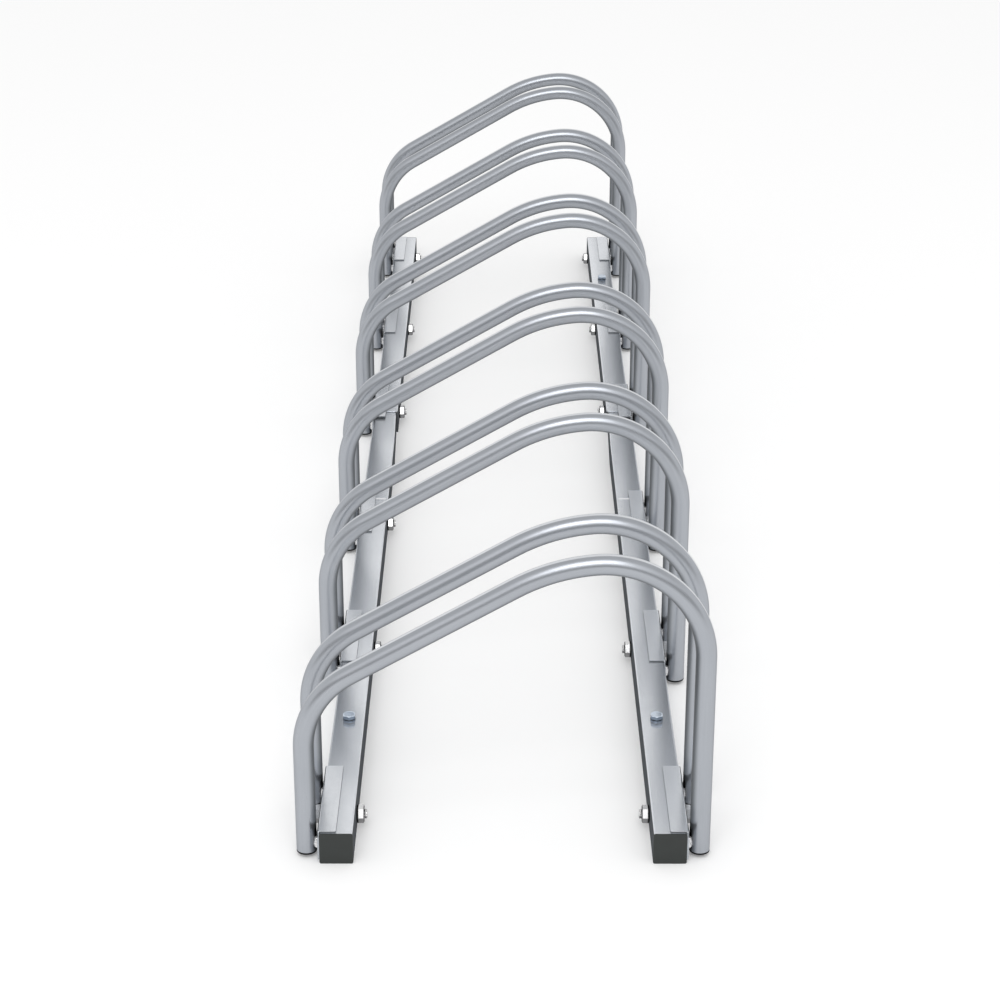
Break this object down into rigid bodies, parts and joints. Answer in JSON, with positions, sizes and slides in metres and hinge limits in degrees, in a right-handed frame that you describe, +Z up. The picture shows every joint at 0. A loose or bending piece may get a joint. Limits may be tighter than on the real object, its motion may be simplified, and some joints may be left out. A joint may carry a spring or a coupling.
{
  "type": "floor bicycle rack",
  "caption": "Low floor bicycle rack of bare galvanised steel: square rails joined in the middle, paired bent tube hoops with a low and a high side, angle brackets, hex bolts and end caps.",
  "frame": {"origin": "on the floor, under the middle of the rack", "axes": "X runs across the rack, from the hoops' low sides to their high sides; Y runs along the rails, from the end nearest the picture to the far end; Z points up"},
  "size_m": [0.3312, 1.6, 0.2634],
  "materials": {
    "galvanised": "satin galvanised steel",
    "tube_steel": "satin galvanised tube with fine lengthways lines",
    "bright_zinc": "bright zinc plating",
    "anchor_zinc": "bluish zinc plating",
    "weld_metal": "bare weld metal",
    "cap_plastic": "matte charcoal",
    "plug_plastic": "matte black"
  },
  "bodies": {
    "root": {"left_rail_front": "galvanised", "left_rail_joiner": "galvanised", "left_rail_rear": "galvanised", "right_rail_front": "galvanised", "right_rail_joiner": "galvanised", "right_rail_rear": "galvanised", "left_cap_front": "cap_plastic", "left_cap_rear": "cap_plastic", "right_cap_front": "cap_plastic", "right_cap_rear": "cap_plastic", "left_bracket_1": "galvanised", "left_bracket_2": "galvanised", "left_bracket_3": "galvanised", "left_bracket_4": "galvanised", "left_bracket_5": "galvanised", "left_bracket_6": "galvanised", "right_bracket_1": "galvanised", "right_bracket_2": "galvanised", "right_bracket_3": "galvanised", "right_bracket_4": "galvanised", "right_bracket_5": "galvanised", "right_bracket_6": "galvanised", "hoop_1_front": "tube_steel", "hoop_1_rear": "tube_steel", "hoop_2_front": "tube_steel", "hoop_2_rear": "tube_steel", "hoop_3_front": "tube_steel", "hoop_3_rear": "tube_steel", "hoop_4_front": "tube_steel", "hoop_4_rear": "tube_steel", "hoop_5_front": "tube_steel", "hoop_5_rear": "tube_steel", "hoop_6_front": "tube_steel", "hoop_6_rear": "tube_steel", "left_weld_beads": "weld_metal", "left_foot_plugs": "plug_plastic", "left_cross_bolts": "bright_zinc", "left_cross_nuts": "bright_zinc", "right_weld_beads": "weld_metal", "right_foot_plugs": "plug_plastic", "right_cross_bolts": "bright_zinc", "right_cross_nuts": "bright_zinc", "anchor_bolts": "anchor_zinc", "anchor_washers": "anchor_zinc"}
  },
  "joints": []
}
